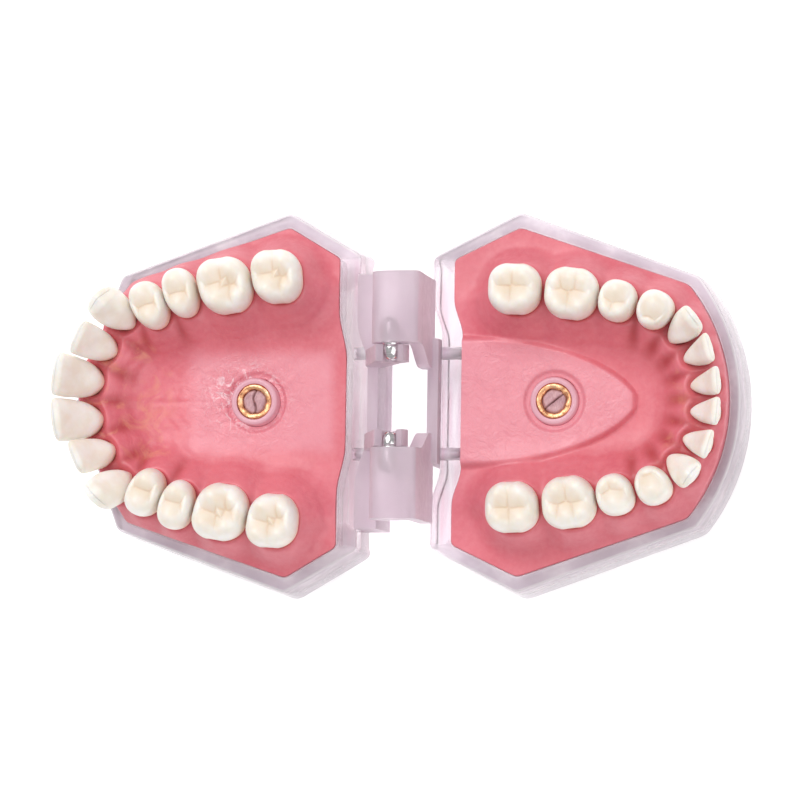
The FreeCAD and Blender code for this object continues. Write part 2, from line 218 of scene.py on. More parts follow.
def bump(value, centre, width):
    return np.exp(-(((value - centre) / width) ** 2))


def circle(count):
    return np.linspace(0, 2 * np.pi, count, endpoint=False)


def signed_power(value, power):
    return np.sign(value) * np.abs(value) ** power


def place(jaw, u, y, z):
    x = HINGE_X + TOWARDS[jaw] * np.asarray(u, float)
    return np.stack(np.broadcast_arrays(x, y, z), axis=-1).reshape(-1, 3) * MM


def ring_faces(rows, columns, closed=False):
    i = np.arange(rows if closed else rows - 1)[:, None]
    j = np.arange(columns)[None, :]
    k, n = (i + 1) % rows, (j + 1) % columns
    faces = np.stack([i * columns + j, i * columns + n, k * columns + n, k * columns + j], -1)
    return faces.reshape(-1, 4).tolist()


def capped(points, rows, columns):
    """Closes a stack of rings with a fan at each end."""
    rings = points.reshape(rows, columns, 3)
    first, last = len(points), len(points) + 1
    faces = ring_faces(rows, columns)
    for ring, centre in ((0, first), (rows - 1, last)):
        for j in range(columns):
            faces.append([ring * columns + j, ring * columns + (j + 1) % columns, centre])
    return np.vstack([points, rings[0].mean(0), rings[-1].mean(0)]), faces


def make_object(name, points, faces, material, smooth=True, **attributes):
    mesh = bpy.data.meshes.new(name)
    mesh.from_pydata(points.tolist(), [], faces)
    work = bmesh.new()
    work.from_mesh(mesh)
    bmesh.ops.recalc_face_normals(work, faces=work.faces)
    work.to_mesh(mesh)
    work.free()
    mesh.polygons.foreach_set("use_smooth", [smooth] * len(mesh.polygons))
    for key, values in attributes.items():
        padded = np.zeros(len(points), np.float32)
        padded[:len(values)] = values
        layer = mesh.attributes.new(key, "FLOAT", "POINT")
        layer.data.foreach_set("value", padded)
    mesh.materials.append(material)
    made = bpy.data.objects.new(name, mesh)
    bpy.context.scene.collection.objects.link(made)
    return made


def finish_piece(piece, jaw, slot, *nodes):
    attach(piece, BODY[jaw])
    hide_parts(*nodes)
    return piece


def apply_modifiers(piece):
    graph = bpy.context.evaluated_depsgraph_get()
    mesh = bpy.data.meshes.new_from_object(piece.evaluated_get(graph))
    piece.modifiers.clear()
    piece.data = mesh


def combine(piece, others, operation):
    """Boolean of a closed mesh with others, which are then removed."""
    for other in others:
        modifier = piece.modifiers.new(operation, "BOOLEAN")
        modifier.operation = operation
        modifier.object = other
        modifier.solver = "EXACT"
    bpy.context.view_layer.update()
    apply_modifiers(piece)
    for other in others:
        bpy.data.objects.remove(other)
    return piece


def shade(piece, angle):
    """Smooth shading, with sharp edges past an angle in degrees."""
    piece.data.shade_smooth()
    piece.data.set_sharp_from_angle(angle=math.radians(angle))


def bevelled(piece, width, segments=3, angle=35):
    modifier = piece.modifiers.new("bevel", "BEVEL")
    modifier.width = width * MM
    modifier.segments = segments
    modifier.limit_method = "ANGLE"
    modifier.angle_limit = math.radians(angle)
    modifier.harden_normals = False
    bpy.context.view_layer.update()
    apply_modifiers(piece)
    shade(piece, 50)
    return piece


# ---- materials ----

class Surface:
    """A node material with a Principled shader and short ways to add nodes to it."""

    def __init__(self, name, **sockets):
        self.material = bpy.data.materials.new(name)
        self.material.use_nodes = True
        self.tree = self.material.node_tree
        self.shader = self.tree.nodes["Principled BSDF"]
        self.output = self.tree.nodes["Material Output"]
        for key, value in sockets.items():
            self.shader.inputs[key.replace("_", " ")].default_value = value
        self.place = self.node("ShaderNodeTexCoord").outputs["Object"]

    def node(self, kind, **settings):
        made = self.tree.nodes.new(kind)
        for key, value in settings.items():
            setattr(made, key, value)
        return made

    def link(self, source, target):
        self.tree.links.new(source, target)

    def noise(self, scale, detail=3.0, roughness=0.55, stretch=None, distortion=0.0):
        made = self.node("ShaderNodeTexNoise")
        keys = ("Scale", "Detail", "Roughness", "Distortion")
        for key, value in zip(keys, (scale, detail, roughness, distortion)):
            made.inputs[key].default_value = value
        place = self.place
        if stretch is not None:
            mapping = self.node("ShaderNodeMapping")
            mapping.inputs["Scale"].default_value = stretch
            self.link(place, mapping.inputs["Vector"])
            place = mapping.outputs["Vector"]
        self.link(place, made.inputs["Vector"])
        return made.outputs["Fac"]

    def attribute(self, name):
        return self.node("ShaderNodeAttribute", attribute_name=name).outputs["Fac"]

    def ramp(self, source, stops):
        made = self.node("ShaderNodeValToRGB")
        elements = made.color_ramp.elements
        elements[0].position, elements[1].position = stops[0][0], stops[-1][0]
        for position, value in stops[1:-1]:
            elements.new(position)
        for element, (position, value) in zip(elements, stops):
            element.color = value if len(value) == 4 else (*value, 1.0)
        self.link(source, made.inputs["Fac"])
        return made.outputs["Color"]

    def mix(self, share, first, second):
        made = self.node("ShaderNodeMix", data_type="RGBA")
        for source, target in ((share, "Factor"), (first, "A"), (second, "B")):
            sockets = [s for s in made.inputs if s.name == target and s.enabled]
            if isinstance(source, bpy.types.NodeSocket):
                self.link(source, sockets[0])
            else:
                sockets[0].default_value = source if target == "Factor" else (*source, 1.0)
        return [s for s in made.outputs if s.enabled][0]

    def span(self, source, low, high, to_low=0.0, to_high=1.0):
        made = self.node("ShaderNodeMapRange")
        keys = ("From Min", "From Max", "To Min", "To Max")
        for key, value in zip(keys, (low, high, to_low, to_high)):
            made.inputs[key].default_value = value
        self.link(source, made.inputs["Value"])
        return made.outputs["Result"]

    def product(self, first, second):
        made = self.node("ShaderNodeMath", operation="MULTIPLY")
        self.link(first, made.inputs[0])
        self.link(second, made.inputs[1])
        return made.outputs["Value"]

    def colour(self, source):
        self.link(source, self.shader.inputs["Base Color"])

    def roughness(self, source):
        self.link(source, self.shader.inputs["Roughness"])

    def relief(self, *layers):
        """Bumps in a chain: each layer is (height, depth in millimetres)."""
        normal = None
        for height, depth in layers:
            made = self.node("ShaderNodeBump")
            made.inputs["Strength"].default_value = 1.0
            made.inputs["Distance"].default_value = depth * MM
            self.link(height, made.inputs["Height"])
            if normal is not None:
                self.link(normal, made.inputs["Normal"])
            normal = made.outputs["Normal"]
        self.link(normal, self.shader.inputs["Normal"])


def gum_material():
    s = Surface("gum_resin", Subsurface_Weight=0.12, Subsurface_Scale=0.0015, IOR=1.5,
                Coat_Weight=0.12, Coat_Roughness=0.2,
                Subsurface_Radius=(1.0, 0.35, 0.25))
    blotches = s.noise(70, 4, 0.6)
    base = s.ramp(blotches, [(0.35, (0.66, 0.13, 0.17)), (0.65, (0.75, 0.185, 0.23))])
    fine = s.noise(900, 3, 0.6)
    base = s.mix(s.span(fine, 0.35, 0.75, 0.0, 0.18), base, (0.86, 0.36, 0.37))
    # painted shade: darker red at the necks, between the teeth, in the grooves and round the boss recess
    base = s.mix(s.attribute("crease_shade"), base, (0.46, 0.055, 0.065))
    patches = s.span(s.noise(260, 3, 0.6, distortion=1.0), 0.50, 0.72, 0.0, 0.45)
    base = s.mix(s.product(patches, s.attribute("warm")), base, (0.78, 0.36, 0.20))
    base = s.mix(s.attribute("pale"), base, (0.85, 0.38, 0.45))
    # painted highlights: pale flecks over the glossy wrinkled patch
    painted_glints = s.span(s.noise(430, 4, 0.65, distortion=2.2), 0.53, 0.63, 0.0, 0.70)
    glossy = s.span(s.attribute("crinkle_and_glints"), 0.35, 0.85)
    base = s.mix(s.product(painted_glints, glossy), base, (1.0, 0.84, 0.88))
    s.colour(base)
    rough = s.span(s.noise(260, 3), 0.3, 0.7, 0.32, 0.52)
    s.roughness(s.product(rough, s.span(s.attribute("crinkle_and_glints"), 0.0, 1.0, 1.0, 0.35)))
    wrinkles = s.product(s.noise(380, 4, 0.65, distortion=1.6), s.attribute("crinkle_and_glints"))
    s.relief((s.noise(300, 2, 0.5), 0.07), (wrinkles, 0.9), (s.noise(1500, 3, 0.6), 0.03))
    return s.material


def tooth_material():
    s = Surface("tooth_resin", Subsurface_Weight=0.35, Subsurface_Scale=0.0015, IOR=1.5,
                Coat_Weight=0.08, Coat_Roughness=0.2,
                Subsurface_Radius=(1.0, 0.7, 0.45))
    clouds = s.noise(330, 3, 0.5)
    base = s.ramp(clouds, [(0.35, (0.85, 0.78, 0.69)), (0.62, (0.91, 0.875, 0.83))])
    # beige in the middle of each crown: partly its own tone, partly painted shade deepening in the hollows
    base = s.mix(s.attribute("core"), base, (0.80, 0.63, 0.45))
    # painted shade: brown in the fissures and pits of the back teeth
    base = s.mix(s.attribute("stain"), base, (0.68, 0.47, 0.30))
    # warm tint low on each crown: the warm line at the gum, and painted light over the sides in place of
    # their grey shade
    base = s.mix(s.attribute("neck"), base, (0.96, 0.64, 0.42))
    s.colour(base)
    s.roughness(s.span(s.noise(500, 2), 0.3, 0.7, 0.34, 0.50))
    s.relief((s.noise(600, 2, 0.5), 0.05), (s.noise(2600, 2, 0.5), 0.008))
    return s.material


def acrylic_material():
    s = Surface("clear_acrylic", IOR=1.3, Coat_Weight=0.15, Coat_Roughness=0.08)
    swirl = s.noise(130, 3, 0.6, stretch=(1.0, 1.0, 2.0))
    base = s.ramp(swirl, [(0.3, (0.58, 0.51, 0.57)), (0.5, (0.67, 0.60, 0.66)), (0.62, (0.80, 0.74, 0.79))])
    # painted highlights: streaks from pink to near white along the back wall
    highlight_streaks = s.ramp(s.noise(90, 3, 0.6, stretch=(4.0, 0.35, 1.0)),
                    [(0.38, (0.86, 0.68, 0.75)), (0.5, (0.86, 0.80, 0.85)), (0.6, (0.97, 0.96, 0.97))])
    base = s.mix(s.attribute("back"), base, highlight_streaks)
    # painted see-through: pink of the gum on the clear boss and the low inner wall
    base = s.mix(s.attribute("blush"), base, (0.88, 0.42, 0.50))
    # painted highlight: near-white lines along the rounded rim edges
    base = s.mix(s.attribute("edge"), base, (0.97, 0.95, 0.97))
    s.colour(base)
    s.link(s.attribute("clear"), s.shader.inputs["Transmission Weight"])
    s.roughness(s.span(s.noise(400, 3), 0.35, 0.75, 0.10, 0.22))
    s.relief((s.noise(180, 2, 0.5), 0.05), (s.noise(2200, 3, 0.6), 0.006))
    see_through(s, (0.96, 0.95, 0.96, 1.0))
    return s.material


def see_through(s, tint):
    """Lets lamps through the piece, so that it throws a light shadow only."""
    path = s.node("ShaderNodeLightPath")
    clear = s.node("ShaderNodeBsdfTransparent")
    clear.inputs["Color"].default_value = tint
    either = s.node("ShaderNodeMixShader")
    s.link(path.outputs["Is Shadow Ray"], either.inputs[0])
    s.link(s.shader.outputs[0], either.inputs[1])
    s.link(clear.outputs[0], either.inputs[2])
    s.link(either.outputs[0], s.output.inputs["Surface"])


def frosted_material():
    s = Surface("frosted_plastic", IOR=1.42, Transmission_Weight=0.45, Roughness=0.4,
                Subsurface_Weight=0.3, Subsurface_Scale=0.003,
                Subsurface_Radius=(1.0, 0.85, 1.0))
    cloud = s.noise(90, 3, 0.5)
    s.colour(s.ramp(cloud, [(0.3, (0.66, 0.54, 0.61)), (0.7, (0.76, 0.65, 0.71))]))
    s.roughness(s.span(s.noise(700, 3), 0.3, 0.7, 0.34, 0.5))
    s.relief((s.noise(500, 3, 0.6), 0.04), (s.noise(3000, 2, 0.6), 0.01))
    see_through(s, (0.93, 0.90, 0.93, 1.0))
    return s.material


def brass_material():
    s = Surface("brass", Metallic=1.0)
    patches = s.noise(900, 4, 0.65)
    s.colour(s.ramp(patches, [(0.3, (0.50, 0.20, 0.11)), (0.5, (0.88, 0.48, 0.25)),
                              (0.7, (0.98, 0.70, 0.45))]))
    s.roughness(s.span(s.noise(1500, 3), 0.3, 0.7, 0.22, 0.5))
    s.relief((s.noise(2200, 4, 0.65), 0.08))
    return s.material


def plug_material():
    s = Surface("plug_resin", IOR=1.45, Coat_Weight=0.15)
    patches = s.noise(1000, 4, 0.65)
    base = s.ramp(patches, [(0.3, (0.42, 0.22, 0.25)), (0.7, (0.66, 0.40, 0.42))])
    s.colour(s.mix(s.attribute("edge"), base, (0.25, 0.10, 0.10)))
    s.roughness(s.span(s.noise(1200, 2), 0.3, 0.7, 0.4, 0.7))
    s.relief((s.noise(1800, 4, 0.65), 0.10))
    return s.material


def steel_material(name, low, high, rough_low, rough_high, stretch):
    s = Surface(name, Metallic=1.0)
    streaks = s.noise(500, 3, 0.6, stretch=stretch)
    s.colour(s.ramp(streaks, [(0.3, low), (0.7, high)]))
    s.roughness(s.span(streaks, 0.3, 0.7, rough_low, rough_high))
    s.relief((streaks, 0.01))
    return s.material


# ---- plans ----

def back_u(plan, y):
    # S-shaped back wall: a flat middle that steps across to the heels
    t = (np.abs(y) - plan["flat"]) / (plan["bend"] - plan["flat"])
    return plan["middle"] + (plan["heel"][0] - plan["middle"]) * smooth_step(t)


def outline(plan, soften=3):
    """Closed plan outline as (points, back), where back is 1 along the back wall."""
    def straight(a, b, count):
        t = np.linspace(0, 1, count, endpoint=False)[:, None]
        return np.array(a) + t * (np.array(b) - np.array(a))

    y = np.linspace(0, plan["heel"][1], 66, endpoint=False)
    half = [np.stack([back_u(plan, y), y], 1)]
    half.append(straight(plan["heel"], plan["apex"], 32))
    half.append(straight(plan["apex"], plan["side"], 70))
    if plan["rounded"]:
        side_u, side_y = plan["side"]
        tip = plan["tip"]
        centre = (tip ** 2 - side_u ** 2 - side_y ** 2) / (2 * (tip - side_u))
        start = math.atan2(side_y, side_u - centre)
        angle = np.linspace(start, 0, 61)
        radius = tip - centre
        half.append(np.stack([centre + radius * np.cos(angle), radius * np.sin(angle)], 1))
    else:
        half.append(straight(plan["side"], (plan["tip"], 0), 60))
        half.append(np.array([[plan["tip"], 0.0]]))
    half = np.vstack(half)
    points = np.vstack([half, half[-2:0:-1] * (1, -1)])
    back = (np.abs(points[:, 1]) < plan["heel"][1] - 0.01) & (points[:, 0] < plan["apex"][0] - 6)
    back = back.astype(float)
    for _ in range(soften):
        points = (np.roll(points, 1, 0) + 2 * points + np.roll(points, -1, 0)) / 4
        back = (np.roll(back, 1) + 2 * back + np.roll(back, -1)) / 4
    return points, back


def outward(points):
    along = np.roll(points, -2, 0) - np.roll(points, 2, 0)
    normal = np.stack([along[:, 1], -along[:, 0]], 1)
    normal /= np.linalg.norm(normal, axis=1)[:, None]
    centre = points.mean(0)
    if np.sum(normal * (points - centre)) < 0:
        normal = -normal
    return normal


def around_boss(points, radius):
    ray = points - np.array([BOSS_U, 0.0])
    return np.array([BOSS_U, 0.0]) + radius * ray / np.linalg.norm(ray, axis=1)[:, None]


def rings_to_points(jaw, rings):
    plan = np.stack([ring for ring, _ in rings])
    z = np.stack([np.broadcast_to(height, len(ring)) for ring, height in rings])
    return place(jaw, plan[..., 0], plan[..., 1], z)


def cylinder_along_u(jaw, radius, u_range, y, z, columns=32):
    angle = circle(columns)
    u = np.repeat(np.array(u_range, float)[:, None], columns, 1)
    points = place(jaw, u, y + radius * np.cos(angle)[None], z + radius * np.sin(angle)[None])
    points, faces = capped(points, 2, columns)
    return make_object("tool", points, faces, None, smooth=False)


def screw_holes(jaw, beyond=0.0):
    reach = (1.0, PLATE_FACE_U + SCREW_LENGTH + beyond)
    return [cylinder_along_u(jaw, SCREW_R + 0.03, reach, y, SCREW_Z) for y in (-SCREW_Y, SCREW_Y)]


# ---- trays ----

# numbers in the list of rings below
# EDGE_RINGS are the rounded rim edges, which carry a painted highlight
EDGE_RINGS = (6, 7, 10, 11)
INNER_RINGS = (13, 15)
BOSS_RING = 16


def make_tray(jaw, material):
    rim, back = outline(RIM[jaw])
    well, _ = outline(WELL[jaw])
    rim_out, well_out = outward(rim), outward(well)
    flare = (1 - back)[:, None]

    def outer(grow, trim):
        return rim + rim_out * (grow * flare - trim)

    def inner(trim):
        return well + well_out * trim

    def post(radius):
        return around_boss(well, radius)

    rings = [
        (outer(DRAFT, 0.6), 0.0), (outer(DRAFT, 0.25), 0.08), (outer(DRAFT, 0.06), 0.3),
        (outer(DRAFT * 0.95, 0.0), 0.7), (outer(DRAFT * 0.5, 0.0), RIM_Z / 2),
        (outer(0.05, 0.0), RIM_Z - 0.8), (outer(0, 0.06), RIM_Z - 0.35),
        (outer(0, 0.22), RIM_Z - 0.10), (outer(0, 0.5), RIM_Z),
        (inner(0.35), RIM_Z), (inner(0.14), RIM_Z - 0.06), (inner(0.03), RIM_Z - 0.2),
        (inner(0), RIM_Z - 0.5), (inner(0), FLOOR_Z + 0.5), (inner(-0.12), FLOOR_Z + 0.15),
        (inner(-0.5), FLOOR_Z),
        (post(BOSS_R + 0.8), FLOOR_Z), (post(BOSS_R + 0.2), FLOOR_Z + 0.2),
        (post(BOSS_R), FLOOR_Z + 0.8), (post(BOSS_R), BOSS_TOP - 0.6),
        (post(BOSS_R - 0.1), BOSS_TOP - 0.2), (post(BOSS_R - 0.35), BOSS_TOP),
        (post(INSERT_R + 0.3), BOSS_TOP), (post(INSERT_R + 0.03), BOSS_TOP - 0.15),
        (post(INSERT_R + 0.01), BOSS_TOP - 0.5), (post(INSERT_R + 0.01), 0.3),
        (post(INSERT_R + 0.25), 0.0),
    ]
    points = rings_to_points(jaw, rings)
    faces = ring_faces(len(rings), len(rim), closed=True)
    number = np.arange(len(rings))[:, None] * np.ones(len(rim))
    on_boss = (number >= BOSS_RING) * 1.0
    inner_wall = (number >= INNER_RINGS[0]) * (number <= INNER_RINGS[1])
    rim_highlight = np.isin(number, EDGE_RINGS)
    at_back = back * (1 - on_boss)
    # the rim edges carry a painted highlight, the boss and low inner wall the painted pink of the gum seen
    # through
    tray = make_object(jaw + "_clear_tray", points, faces, material, back=at_back.ravel(),
                       blush=(0.8 * on_boss + 0.7 * inner_wall).ravel(), edge=(0.9 * rim_highlight).ravel(),
                       clear=(0.54 + 0.32 * at_back - 0.38 * on_boss).ravel())
    combine(tray, screw_holes(jaw, 0.1), "DIFFERENCE")
    shade(tray, 40)
    return finish_piece(tray, jaw, "clear_acrylic", jaw + "_base")


# ---- gums ----

def neck_distance(tooth, side, u, y):
    """Distance beyond a tooth's neck, and how far the point lies towards the cheek."""
    _, kind, width, depth, neck, facing, _ = tooth
    angle = math.radians(facing)
    du, dy = u - neck[0], side * y - neck[1]
    out = du * math.cos(angle) + dy * math.sin(angle)
    along = du * math.sin(angle) - dy * math.cos(angle)
    front = kind in FRONT_ROWS
    share, cheek, tongue = FRONT_ROWS[kind][1][1:] if front else (0.82, 0.44, -0.44)
    out = out - depth * (cheek + tongue) / 2
    half_depth = depth * (cheek - tongue) / 2
    half_width = width * share / 2
    power = 2.2 if front else SQUARENESS[kind]
    reach = np.hypot(out, along) + 1e-6
    level = ((np.abs(out) / half_depth) ** power + (np.abs(along) / half_width) ** power) ** (1 / power)
    return reach * (1 - 1 / np.maximum(level, 0.02)), out


def neck_field(jaw, u, y):
    """Nearest and second distance to the necks, a soft union of them all, and cheek share."""
    found, outs = [], []
    for tooth in TEETH[jaw]:
        for side in (1, -1):
            distance, out = neck_distance(tooth, side, u, y)
            found.append(distance)
            outs.append(out)
    found, outs = np.array(found), np.array(outs)
    order = np.argsort(found, axis=0)
    first = np.take_along_axis(found, order[:1], 0)[0]
    second = np.take_along_axis(found, order[1:2], 0)[0]
    nearest_out = np.take_along_axis(outs, order[:1], 0)[0]
    soft = 0.8
    union = -soft * np.log(np.sum(np.exp(-np.clip(found, -8, 60) / soft), axis=0))
    return first, second, union, smooth_step(0.5 + nearest_out / 4.0)


def tongue_edge(u, y):
    """Distance inside the arch-shaped raised floor of the lower jaw."""
    forward = np.clip((u - TONGUE_BACK) / (TONGUE_FRONT - TONGUE_BACK), 0, None)
    half = TONGUE_HALF * np.clip(1 - forward ** 2.2, 0, 1) ** 0.6
    return np.minimum(half - np.abs(y), TONGUE_FRONT - u)


def ridge(first, second, union, cheek):
    """Height of the gum round the necks, and the share of the ridge in it."""
    spread = RIDGE_SPREAD[0] + (RIDGE_SPREAD[1] - RIDGE_SPREAD[0]) * cheek
    rise = np.exp(-(np.maximum(union - 0.3, 0) / spread) ** 2)
    z = SADDLE_Z + (GUM_TOP - SADDLE_Z) * rise
    z += MARGIN_ROLL * bump(union, 0.9, 0.55) - MARGIN_GROOVE * bump(union, 0.0, 0.3)
    z += PAPILLA * bump(np.maximum(first, 0) + np.maximum(second, 0), 0, 1.3)
    z += CONTOUR_STEP * np.cos(2 * np.pi * union / 1.9) * bump(union, 3.6, 1.8) * (1 - cheek)
    z -= SOCKET_DIP * smooth_step(-union / 1.2)
    return z, rise


def palate_relief(u, y, rise):
    """Folds behind the front teeth, the bump and groove on the midline, and a soft swell."""
    front = smooth_step((u - 37) / 5) * (1 - smooth_step((u - 52) / 3))
    front = front * (1 - smooth_step((np.abs(y) - 8) / 5)) * (1 - bump(y, 0, 0.8))
    folds = np.sin(2 * np.pi * (u + 0.045 * y ** 2 + 0.7 * np.sin(0.9 * y)) / FOLD_PITCH)
    middle = bump(y, 0, 0.5) * smooth_step((u - 34) / 3) * (1 - smooth_step((u - 49) / 2))
    swell = np.sin(1.1 * u + 0.6 * y) * np.sin(0.8 * y - 0.35 * u) * (1 - rise)
    peak = bump(u, 51.2, 1.8) * bump(y, 0, 1.0)
    return FOLD * folds * front + INCISIVE_BUMP * peak - MIDLINE_GROOVE * middle + PALATE_SWELL * swell


def palate_colours(u, y):
    """Warm stains behind the incisors, a glossy wrinkled patch with painted highlight flecks, and a paler
    middle.
    """
    near_middle = 1 - smooth_step((np.abs(y) - 7) / 4)
    return dict(warm=smooth_step((u - 42) / 5) * (1 - smooth_step((np.abs(y) - 9) / 4)),
                crinkle_and_glints=bump(u, 30, 9.5) * bump(y, 1.0, 7.5),
                pale=0.5 * near_middle * smooth_step((u - 12) / 3) * (1 - smooth_step((u - 38) / 5)))


def floor_colours(u, union, cheek, inside):
    """Stains behind the lower incisors and the paler, slightly glossy raised floor."""
    raised = smooth_step(inside / 2.0)
    return dict(warm=0.8 * bump(union, 2.0, 1.4) * smooth_step((u - 46) / 4) * (1 - cheek),
                crinkle_and_glints=0.3 * raised, pale=0.55 * raised)


def gum_height(jaw, u, y):
    """Height of the gum's surface and its colour fields."""
    first, second, union, cheek = neck_field(jaw, u, y)
    boss = np.hypot(u - BOSS_U, y)
    groove = bump(second - first, 0, 1.3) * bump(union, 2.4, 2.2) * (1 - cheek)
    groove = groove * smooth_step((u - 36) / 8)
    z, rise = ridge(first, second, union, cheek)
    z -= BETWEEN_GROOVE * groove
    if jaw == "upper":
        z += palate_relief(u, y, rise)
        fields, recess_shade = palate_colours(u, y), 0.08
    else:
        inside = tongue_edge(u, y)
        z += (TONGUE_TOP - SADDLE_Z) * smooth_step(inside / 1.4) * (1 - rise)
        fields, recess_shade = floor_colours(u, union, cheek, inside), 0.30
    z -= RECESS_DEPTH * (1 - smooth_step((boss - RECESS_R + 0.5) / 0.8))
    # painted shade: darker red at the necks, between the teeth, in the grooves behind the front teeth and
    # round the boss recess, its strength round the recess set per jaw above
    crease_shade = 0.35 * bump(np.maximum(union, 0), 0, 0.55) + 0.95 * groove
    crease_shade += 0.38 * bump(np.maximum(first, 0) + np.maximum(second, 0), 0, 1.7)
    crease_shade += recess_shade * (1 - smooth_step((boss - RECESS_R) / 1.2))
    # the band round the necks gets more wrinkles, gloss and faint painted highlight flecks
    fields["crinkle_and_glints"] = fields["crinkle_and_glints"] + 0.12 * bump(union, 3.0, 2.0)
    return z, dict(fields, crease_shade=np.clip(crease_shade, 0, 1))


def overhang(jaw, well):
    """The plan of the gum's top: the well, pushed out wherever the ridge leans over the rim."""
    centre = np.array([30.0, 0.0])
    ray = well - centre
    reach = np.linalg.norm(ray, axis=1)
    ray /= reach[:, None]
    radii = np.linspace(10, 40, 240)
    grid = centre + radii[:, None, None] * ray[None]
    _, _, union, _ = neck_field(jaw, grid[..., 0], grid[..., 1])
    needed = np.where(union < 0.9, radii[:, None], 0).max(0)
    grown = np.maximum(reach, needed)
    for _ in range(6):
        grown = np.maximum(reach, (np.roll(grown, 1) + 2 * grown + np.roll(grown, -1)) / 4)
    return centre + grown[:, None] * ray


def make_gum(jaw, material):
    well, _ = outline(WELL[jaw])
    well = well - outward(well) * SEAT_GAP / 4
    top_plan = overhang(jaw, well)
    hole = around_boss(well, BOSS_R + SEAT_GAP)
    share = np.linspace(0, 1, 120)[:, None, None]
    grid = top_plan[None] * (1 - share) + hole[None] * share
    z, colours = gum_height(jaw, grid[..., 0], grid[..., 1])
    edge_z = z[0]
    shoulder = np.minimum(RIM_Z + 0.5, edge_z - 0.2)
    rings = [
        (hole, FLOOR_Z + 0.3), (around_boss(well, BOSS_R + SEAT_GAP + 0.3), FLOOR_Z),
        (well - outward(well) * 0.3, FLOOR_Z), (well, FLOOR_Z + 0.3),
        (well, shoulder - 0.35), (well * 0.3 + top_plan * 0.7, shoulder - 0.2), (top_plan, shoulder),
        (top_plan, (shoulder + edge_z) / 2),
    ]
    skirt = rings_to_points(jaw, rings)
    top = place(jaw, grid[..., 0], grid[..., 1], z)
    points = np.vstack([skirt, top])
    faces = ring_faces(len(rings) + len(z), len(well), closed=True)
    fields = {}
    for key, values in colours.items():
        fields[key] = np.concatenate([np.zeros(len(skirt)), values.ravel()])
    gum = make_object(jaw + "_gum_body", points, faces, material, **fields)
    return finish_piece(gum, jaw, "gum_resin", jaw + "_gum")


# ---- teeth ----

def set_in_jaw(jaw, tooth, side, out, along, z):
    neck, angle = tooth[4], math.radians(tooth[5])
    u = neck[0] + out * math.cos(angle) + along * math.sin(angle)
    y = side * (neck[1] + out * math.sin(angle) - along * math.cos(angle))
    return place(jaw, u, y, z)


def smoothed(values, passes=10):
    for _ in range(passes):
        values[1:-1] = (values[:-2] + 2 * values[1:-1] + values[2:]) / 4
    return values


def front_tooth(tooth):
    """Rings of an incisor or canine as out, along, z and its colour fields."""
    _, kind, width, depth, _, _, rise = tooth
    top = HINGE_Z + rise
    rows = np.array(FRONT_ROWS[kind])
    body = np.linspace(-0.3, EDGE_START, BODY_RINGS)
    turn = np.linspace(0, np.pi / 2, 9)[1:]
    edge = EDGE_START + (1 - EDGE_START) * np.sin(turn)
    heights = np.append(body, edge)
    thin = np.append(np.ones(BODY_RINGS), np.maximum(np.cos(turn), 0.03))
    ends = np.append(np.ones(BODY_RINGS), 1 - 0.10 * (1 - np.cos(turn)))

    def column(k):
        return np.append(smoothed(np.interp(body, rows[:, 0], rows[:, k])),
                         np.interp(edge, rows[:, 0], rows[:, k]))

    wide, cheek, tongue = column(1), column(2), column(3)
    angle = circle(80)[None]
    h = heights[:, None]
    up = np.clip(h, 0, 1)
    low, high = FRONT_SQUARENESS
    power = 2.0 / (low + (high - low) * up)
    taper = FRONT_TAPER * (1 - up)
    middle = (depth * (cheek + tongue) / 2)[:, None]
    half = (depth * (cheek - tongue) / 2 * thin)[:, None]
    out = middle + half * signed_power(np.sin(angle), power)
    across = signed_power(np.cos(angle), power)
    half_width = (width * wide / 2 * ends)[:, None]
    along = half_width * across * (1 + taper * np.sin(angle)) / (1 + taper * 0.3)
    tongue_side = np.clip(-np.sin(angle), 0, 1)
    hollow = HOLLOW[kind] * depth * (1 - across ** 2) * tongue_side * bump(h, 0.62, 0.24)
    out = out + hollow
    cheek_side = np.clip(np.sin(angle), 0, 1)
    lobes = cheek_side * bump(np.abs(across), 0.36, 0.16) * smooth_step((h - 0.4) / 0.3)
    out = out - LOBE_DEPTH * lobes * thin[:, None]
    mesial, distal, curve = CORNERS[kind]
    drop = np.where(across > 0, mesial, distal) * np.abs(across) ** curve
    z = NECK_Z + (top - NECK_Z) * h - drop * smooth_step((h - 0.45) / 0.5)
    z = np.broadcast_to(z, out.shape)
    # beige in the tongue-side hollow, partly painted shade, and a faint band on the cheek side
    core = 0.08 * tongue_side * (1 - across ** 2) * bump(h, 0.72, 0.25)
    core = core + 0.05 * cheek_side * bump(h, 0.4, 0.3)
    # warm tint on the lower third: partly the warm line at the gum, partly painted light over the shaded
    # sides
    neck_warmth_and_side_light = 0.9 * smooth_step((0.34 - h) / 0.34) * np.ones_like(out)
    return out, along, z, dict(core=core, stain=np.zeros_like(out), neck=neck_warmth_and_side_light)


